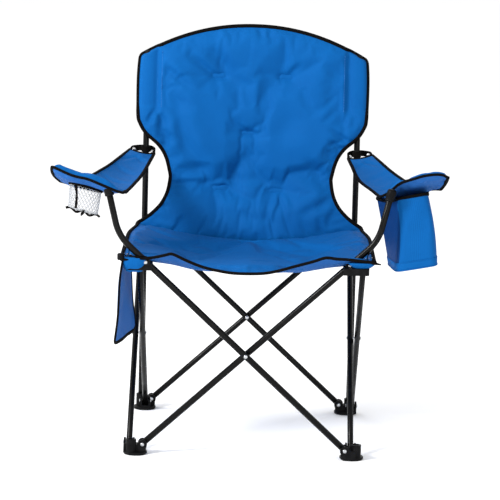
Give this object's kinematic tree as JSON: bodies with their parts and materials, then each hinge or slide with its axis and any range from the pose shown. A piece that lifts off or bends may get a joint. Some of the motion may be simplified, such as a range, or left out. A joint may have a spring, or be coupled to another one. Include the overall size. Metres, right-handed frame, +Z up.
{
  "type": "folding camp chair",
  "caption": "Folding quad camp chair: black scissor steel-tube frame, padded blue seat, back and arms, mesh cup holder, insulated pouch and side pocket.",
  "frame": {"origin": "on the floor, under the middle of the chair's box", "axes": "+Z up, the sitter faces -Y, +X to the right of someone looking at the chair"},
  "size_m": [0.8504, 0.5564, 0.9071],
  "materials": {
    "coated_steel_tube": "semi-gloss powder coat",
    "black_plastic": "moulded, satin",
    "rivet_steel": "zinc plated",
    "blue_fabric": "coated woven polyester",
    "black_webbing": "woven polypropylene webbing",
    "pale_mesh": "open net"
  },
  "bodies": {
    "front_left_foot": {"front_left_foot": "black_plastic", "front_left_foot_rivet_a": "rivet_steel", "front_left_foot_rivet_b": "rivet_steel"},
    "right_arm_frame": {"front_tube_right_arm": "coated_steel_tube", "front_cross_rivet": "rivet_steel", "right_arm_cap": "black_plastic"},
    "left_arm_frame": {"front_tube_left_arm": "coated_steel_tube", "left_arm_cap": "black_plastic"},
    "front_right_foot": {"front_right_foot": "black_plastic", "front_right_foot_rivet_a": "rivet_steel", "front_right_foot_rivet_b": "rivet_steel"},
    "front_left_hub": {"front_left_hub": "black_plastic", "front_left_hub_rivet_a": "rivet_steel", "front_left_hub_rivet_b": "rivet_steel", "side_pocket": "blue_fabric"},
    "front_right_hub": {"front_right_hub": "black_plastic", "front_right_hub_rivet_a": "rivet_steel", "front_right_hub_rivet_b": "rivet_steel"},
    "left_low_front_leg": {"left_tube_low_front": "coated_steel_tube", "left_cross_rivet": "rivet_steel"},
    "left_low_rear_leg": {"left_tube_low_rear": "coated_steel_tube"},
    "rear_left_post": {"rear_left_foot": "black_plastic", "rear_left_foot_rivet_a": "rivet_steel", "rear_left_foot_rivet_b": "rivet_steel", "left_post": "coated_steel_tube", "left_post_cap": "black_plastic", "left_post_loop": "black_webbing", "left_armrest_sling": "blue_fabric", "back": "blue_fabric"},
    "rear_left_hub": {"rear_left_hub": "black_plastic", "rear_left_hub_rivet_a": "rivet_steel", "rear_left_hub_rivet_b": "rivet_steel"},
    "right_low_front_leg": {"right_tube_low_front": "coated_steel_tube", "right_cross_rivet": "rivet_steel"},
    "right_low_rear_leg": {"right_tube_low_rear": "coated_steel_tube"},
    "rear_right_post": {"rear_right_foot": "black_plastic", "rear_right_foot_rivet_a": "rivet_steel", "rear_right_foot_rivet_b": "rivet_steel", "right_post": "coated_steel_tube", "right_post_cap": "black_plastic", "right_post_loop": "black_webbing", "right_armrest_sling": "blue_fabric"},
    "rear_right_hub": {"rear_right_hub": "black_plastic", "rear_right_hub_rivet_a": "rivet_steel", "rear_right_hub_rivet_b": "rivet_steel"},
    "rear_low_left_leg": {"rear_tube_low_left": "coated_steel_tube", "rear_cross_rivet": "rivet_steel"},
    "rear_low_right_leg": {"rear_tube_low_right": "coated_steel_tube"},
    "left_armrest": {"left_armrest_pad": "blue_fabric", "cup_ring": "black_webbing", "cup_net": "pale_mesh", "cup_base": "black_webbing"},
    "right_armrest": {"right_armrest_pad": "blue_fabric", "cooler_bag": "blue_fabric", "cooler_lid": "blue_fabric"},
    "seat_front_half": {"seat_front": "blue_fabric"},
    "seat_rear_half": {"seat_rear": "blue_fabric"}
  },
  "joints": [
    {"name": "fold", "type": "hinge", "parent": "front_left_foot", "child": "right_arm_frame", "pos_m": [-0.2205, -0.24222, 0.022], "axis": [0, -1, 0], "range_deg": [0, 34.4], "deforming": ["back", "seat_front", "seat_rear", "left_armrest_sling", "right_armrest_sling", "side_pocket", "cooler_bag", "cooler_lid"]},
    {"name": "front_crossing", "type": "hinge", "parent": "right_arm_frame", "child": "left_arm_frame", "pos_m": [0, -0.25022, 0.2245], "axis": [0, -1, 0], "range_deg": [-68.8, 0]},
    {"name": "front_right_foot_pivot", "type": "hinge", "parent": "left_arm_frame", "child": "front_right_foot", "pos_m": [0.2205, -0.25822, 0.022], "axis": [0, -1, 0], "range_deg": [0, 34.4]},
    {"name": "front_left_hub_pivot", "type": "hinge", "parent": "left_arm_frame", "child": "front_left_hub", "pos_m": [-0.2205, -0.25822, 0.427], "axis": [0, -1, 0], "range_deg": [0, 34.4]},
    {"name": "front_right_hub_pivot", "type": "hinge", "parent": "right_arm_frame", "child": "front_right_hub", "pos_m": [0.2205, -0.24222, 0.427], "axis": [0, -1, 0], "range_deg": [-34.4, 0]},
    {"name": "front_left_foot_side_pivot", "type": "hinge", "parent": "front_left_foot", "child": "left_low_front_leg", "pos_m": [-0.25, -0.22872, 0.022], "axis": [1, 0, 0], "range_deg": [0, 34.4]},
    {"name": "left_crossing", "type": "hinge", "parent": "left_low_front_leg", "child": "left_low_rear_leg", "pos_m": [-0.242, -0.00822, 0.2245], "axis": [1, 0, 0], "range_deg": [-68.8, 0]},
    {"name": "rear_left_foot_pivot", "type": "hinge", "parent": "left_low_rear_leg", "child": "rear_left_post", "pos_m": [-0.234, 0.21228, 0.022], "axis": [1, 0, 0], "range_deg": [0, 34.4]},
    {"name": "rear_left_hub_pivot", "type": "hinge", "parent": "left_low_front_leg", "child": "rear_left_hub", "pos_m": [-0.25, 0.21228, 0.427], "axis": [1, 0, 0], "range_deg": [-34.4, 0]},
    {"name": "front_right_foot_side_pivot", "type": "hinge", "parent": "front_right_foot", "child": "right_low_front_leg", "pos_m": [0.234, -0.22872, 0.022], "axis": [1, 0, 0], "range_deg": [0, 34.4]},
    {"name": "right_crossing", "type": "hinge", "parent": "right_low_front_leg", "child": "right_low_rear_leg", "pos_m": [0.242, -0.00822, 0.2245], "axis": [1, 0, 0], "range_deg": [-68.8, 0]},
    {"name": "rear_right_foot_pivot", "type": "hinge", "parent": "right_low_rear_leg", "child": "rear_right_post", "pos_m": [0.25, 0.21228, 0.022], "axis": [1, 0, 0], "range_deg": [0, 34.4]},
    {"name": "rear_right_hub_pivot", "type": "hinge", "parent": "right_low_front_leg", "child": "rear_right_hub", "pos_m": [0.234, 0.21228, 0.427], "axis": [1, 0, 0], "range_deg": [-34.4, 0]},
    {"name": "rear_left_foot_rear_pivot", "type": "hinge", "parent": "rear_left_post", "child": "rear_low_left_leg", "pos_m": [-0.2205, 0.24178, 0.022], "axis": [0, -1, 0], "range_deg": [0, 34.4]},
    {"name": "rear_crossing", "type": "hinge", "parent": "rear_low_left_leg", "child": "rear_low_right_leg", "pos_m": [0, 0.23378, 0.2245], "axis": [0, -1, 0], "range_deg": [-68.8, 0]},
    {"name": "left_armrest_corner", "type": "hinge", "parent": "left_arm_frame", "child": "left_armrest", "pos_m": [-0.30398, -0.25822, 0.58253], "axis": [0, -1, 0], "range_deg": [0, 34.4]},
    {"name": "right_armrest_corner", "type": "hinge", "parent": "right_arm_frame", "child": "right_armrest", "pos_m": [0.30398, -0.24222, 0.58253], "axis": [0, -1, 0], "range_deg": [-34.4, 0]},
    {"name": "seat_front_drop", "type": "hinge", "parent": "front_left_hub", "child": "seat_front_half", "pos_m": [0, -0.24422, 0.44], "axis": [1, 0, 0], "range_deg": [-62.5, 0]},
    {"name": "seat_rear_drop", "type": "hinge", "parent": "rear_left_hub", "child": "seat_rear_half", "pos_m": [0, 0.20378, 0.44], "axis": [1, 0, 0], "range_deg": [0, 81]}
  ],
  "couplings": [
    {"joint": "front_crossing", "follows": "fold", "ratio": -2},
    {"joint": "front_right_foot_pivot", "follows": "fold", "ratio": 1},
    {"joint": "front_left_hub_pivot", "follows": "fold", "ratio": 1},
    {"joint": "front_right_hub_pivot", "follows": "fold", "ratio": -1},
    {"joint": "front_left_foot_side_pivot", "follows": "fold", "ratio": 1},
    {"joint": "left_crossing", "follows": "fold", "ratio": -2},
    {"joint": "rear_left_foot_pivot", "follows": "fold", "ratio": 1},
    {"joint": "rear_left_hub_pivot", "follows": "fold", "ratio": -1},
    {"joint": "front_right_foot_side_pivot", "follows": "fold", "ratio": 1},
    {"joint": "right_crossing", "follows": "fold", "ratio": -2},
    {"joint": "rear_right_foot_pivot", "follows": "fold", "ratio": 1},
    {"joint": "rear_right_hub_pivot", "follows": "fold", "ratio": -1},
    {"joint": "rear_left_foot_rear_pivot", "follows": "fold", "ratio": 1},
    {"joint": "rear_crossing", "follows": "fold", "ratio": -2},
    {"joint": "left_armrest_corner", "follows": "fold", "ratio": 1},
    {"joint": "right_armrest_corner", "follows": "fold", "ratio": -1},
    {"joint": "seat_front_drop", "follows": "fold", "ratio": -1.8169},
    {"joint": "seat_rear_drop", "follows": "fold", "ratio": 2.3547}
  ]
}
